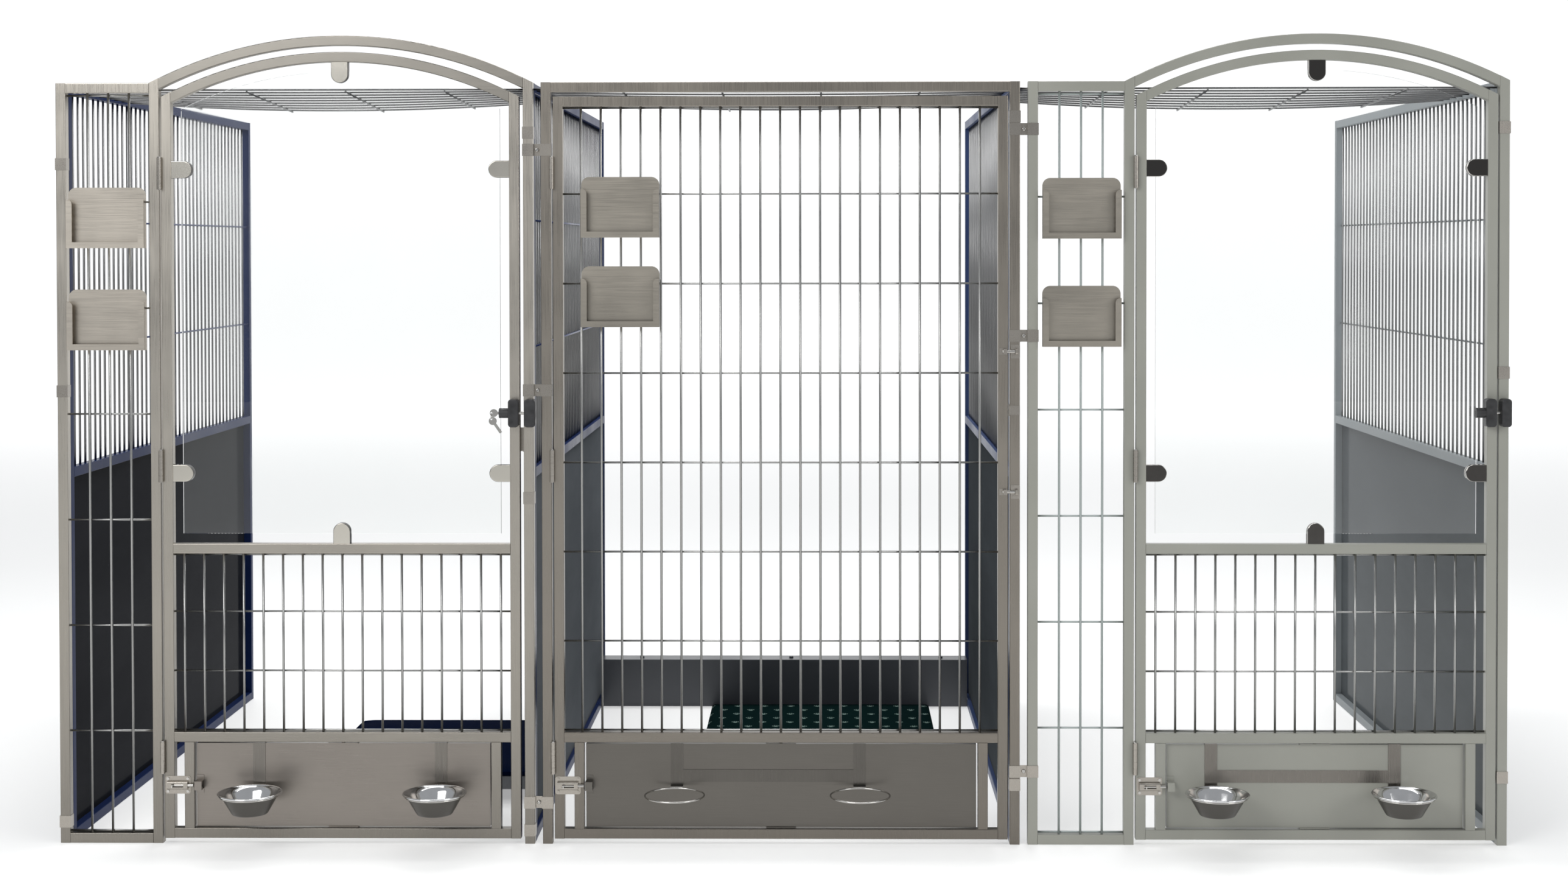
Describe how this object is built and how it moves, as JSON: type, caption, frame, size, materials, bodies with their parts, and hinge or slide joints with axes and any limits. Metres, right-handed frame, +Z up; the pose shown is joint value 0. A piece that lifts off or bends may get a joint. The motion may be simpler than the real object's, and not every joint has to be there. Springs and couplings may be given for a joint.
{
  "type": "veterinary kennel cage",
  "caption": "Free-standing bank of side-by-side veterinary kennels with hinged barred and glazed doors, turning feeder panels, side walls and a bed.",
  "frame": {"origin": "middle of the bank's footprint, on the floor", "axes": "+X along the bank to the right as seen from the doors, +Y from the doors towards the open back, +Z up"},
  "size_m": [3.643, 1.9635, 2.0329],
  "materials": {
    "stainless_tube": "brushed along the tube",
    "grey_green_tube": "satin powder coat",
    "bright_wire": "bright drawn wire",
    "navy_tube": "gloss powder coat",
    "wall_sheet": "high gloss",
    "brushed_fittings": "fine brushed",
    "polished_fittings": "polished",
    "clear_glass": "clear",
    "lock_case": "fine satin",
    "kick_sheet": "satin powder coat",
    "bed_steel": "satin powder coat",
    "navy_vinyl": "soft grained vinyl",
    "mat_rubber": "matte with a pale print"
  },
  "bodies": {
    "kennel": {"frame_a": "stainless_tube", "frame_a_arch": "stainless_tube", "frame_b": "stainless_tube", "frame_c": "grey_green_tube", "frame_c_arch": "grey_green_tube", "side_grilles": "bright_wire", "wall_frames": "navy_tube", "wall_bars": "bright_wire", "wall_panels": "wall_sheet", "roof_mesh": "bright_wire", "frame_clips": "brushed_fittings", "clip_bolts": "polished_fittings", "side_card_holders": "brushed_fittings", "hinge_post_leaves": "brushed_fittings", "hinge_pins": "polished_fittings", "lock_keepers": "lock_case", "stops_and_latch_keepers": "brushed_fittings", "kick_panel": "kick_sheet", "bed_frame": "bed_steel", "bed_mattress": "navy_vinyl", "floor_mat": "mat_rubber"},
    "door_a": {"door_a_frame": "stainless_tube", "door_a_arch": "stainless_tube", "door_a_grille": "bright_wire", "door_a_glass": "clear_glass", "door_a_clamps": "polished_fittings", "door_a_hinge_leaves": "brushed_fittings", "lock_a_body": "lock_case", "feeder_a_bolt_housing": "brushed_fittings"},
    "door_c": {"door_c_frame": "grey_green_tube", "door_c_arch": "grey_green_tube", "door_c_grille": "bright_wire", "door_c_glass": "clear_glass", "door_c_clamps": "polished_fittings", "door_c_hinge_leaves": "brushed_fittings", "lock_c_body": "lock_case", "feeder_c_bolt_housing": "brushed_fittings"},
    "door_b": {"door_b_frame": "stainless_tube", "door_b_grille": "bright_wire", "door_b_hinge_leaves": "brushed_fittings", "door_b_card_holders": "brushed_fittings", "door_b_latch_plates": "brushed_fittings"},
    "lock_a_bolt": {"lock_a_bolt": "polished_fittings"},
    "lock_c_bolt": {"lock_c_bolt": "polished_fittings"},
    "lock_a_key": {"lock_a_keys": "polished_fittings"},
    "latch_b_upper": {"latch_b_upper_rod": "polished_fittings"},
    "latch_b_lower": {"latch_b_lower_rod": "polished_fittings"},
    "feeder_a_bolt": {"feeder_a_bolt": "polished_fittings"},
    "feeder_a": {"feeder_a_panel": "brushed_fittings", "feeder_a_bowl_racks": "bright_wire"},
    "feeder_b_bolt": {"feeder_b_bolt": "polished_fittings"},
    "feeder_b": {"feeder_b_panel": "brushed_fittings", "feeder_b_bowl_racks": "bright_wire"},
    "feeder_c_bolt": {"feeder_c_bolt": "polished_fittings"},
    "feeder_c": {"feeder_c_panel": "brushed_fittings", "feeder_c_bowl_racks": "bright_wire"},
    "bowl_a_left": {"bowl_a_left": "polished_fittings"},
    "bowl_a_right": {"bowl_a_right": "polished_fittings"},
    "bowl_c_left": {"bowl_c_left": "polished_fittings"},
    "bowl_c_right": {"bowl_c_right": "polished_fittings"}
  },
  "joints": [
    {"name": "door_a_hinge", "type": "hinge", "parent": "kennel", "child": "door_a", "pos_m": [-1.5575, -0.82525, 0.953], "axis": [0, 0, -1], "range_deg": [0, 110]},
    {"name": "door_b_hinge", "type": "hinge", "parent": "kennel", "child": "door_b", "pos_m": [-0.5725, -0.82525, 0.953], "axis": [0, 0, -1], "range_deg": [0, 100]},
    {"name": "door_c_hinge", "type": "hinge", "parent": "kennel", "child": "door_c", "pos_m": [0.8885, -0.82525, 0.953], "axis": [0, 0, -1], "range_deg": [0, 110]},
    {"name": "feeder_a_turn", "type": "hinge", "parent": "door_a", "child": "feeder_a", "pos_m": [-1.105, -0.80575, 0.146], "axis": [0, 0, 1], "range_deg": [0, 180]},
    {"name": "feeder_a_bolt_slide", "type": "slide", "parent": "door_a", "child": "feeder_a_bolt", "axis": [1, 0, 0], "range_m": [0, 0.018]},
    {"name": "feeder_b_turn", "type": "hinge", "parent": "door_b", "child": "feeder_b", "pos_m": [0, -0.80575, 0.146], "axis": [0, 0, 1], "range_deg": [0, 180]},
    {"name": "feeder_b_bolt_slide", "type": "slide", "parent": "door_b", "child": "feeder_b_bolt", "axis": [1, 0, 0], "range_m": [0, 0.018]},
    {"name": "feeder_c_turn", "type": "hinge", "parent": "door_c", "child": "feeder_c", "pos_m": [1.341, -0.80575, 0.146], "axis": [0, 0, 1], "range_deg": [0, 180]},
    {"name": "feeder_c_bolt_slide", "type": "slide", "parent": "door_c", "child": "feeder_c_bolt", "axis": [1, 0, 0], "range_m": [0, 0.018]},
    {"name": "lock_a_bolt_slide", "type": "slide", "parent": "door_a", "child": "lock_a_bolt", "axis": [1, 0, 0], "range_m": [0, 0.012]},
    {"name": "lock_c_bolt_slide", "type": "slide", "parent": "door_c", "child": "lock_c_bolt", "axis": [1, 0, 0], "range_m": [0, 0.012]},
    {"name": "lock_a_key_turn", "type": "hinge", "parent": "door_a", "child": "lock_a_key", "pos_m": [-0.693, -0.83225, 1.087], "axis": [-1, 0, 0], "range_deg": [0, 90]},
    {"name": "latch_b_upper_slide", "type": "slide", "parent": "door_b", "child": "latch_b_upper", "axis": [1, 0, 0], "range_m": [0, 0.01]},
    {"name": "latch_b_lower_slide", "type": "slide", "parent": "door_b", "child": "latch_b_lower", "axis": [1, 0, 0], "range_m": [0, 0.01]},
    {"name": "bowl_a_left_lift", "type": "slide", "parent": "feeder_a", "child": "bowl_a_left", "axis": [0, 0, 1], "range_m": [0, 0.08]},
    {"name": "bowl_a_right_lift", "type": "slide", "parent": "feeder_a", "child": "bowl_a_right", "axis": [0, 0, 1], "range_m": [0, 0.08]},
    {"name": "bowl_c_left_lift", "type": "slide", "parent": "feeder_c", "child": "bowl_c_left", "axis": [0, 0, 1], "range_m": [0, 0.08]},
    {"name": "bowl_c_right_lift", "type": "slide", "parent": "feeder_c", "child": "bowl_c_right", "axis": [0, 0, 1], "range_m": [0, 0.08]}
  ]
}
